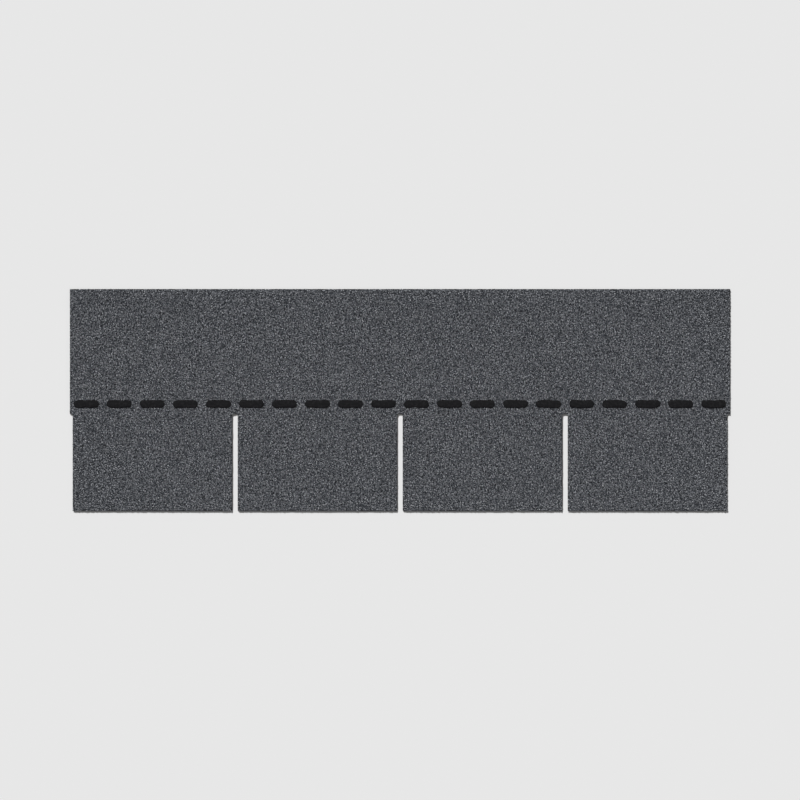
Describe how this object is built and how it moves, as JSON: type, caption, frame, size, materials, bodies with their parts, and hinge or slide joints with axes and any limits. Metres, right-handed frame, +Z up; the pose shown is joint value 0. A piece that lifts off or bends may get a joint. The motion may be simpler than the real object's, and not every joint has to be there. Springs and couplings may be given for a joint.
{
  "type": "asphalt strip shingle",
  "caption": "Flat granule-faced asphalt roofing shingle: a long strip whose lower edge is die-cut into square tabs by narrow slots, with a row of self-seal beads above them.",
  "frame": {"origin": "on the floor, under the middle of the strip's length and height", "axes": "+X along the strip, +Y from the tabs' butt edge to the top edge, +Z up out of the granule face"},
  "size_m": [1, 0.336, 0.0038],
  "materials": {
    "granule_sheet": "asphalt-coated glass mat faced with dark blue-grey mineral granules",
    "sealant": "black bitumen with a faint gloss, dulled by dust"
  },
  "bodies": {
    "root": {"shingle_strip": "granule_sheet", "self_seal_beads": "sealant"}
  },
  "joints": []
}
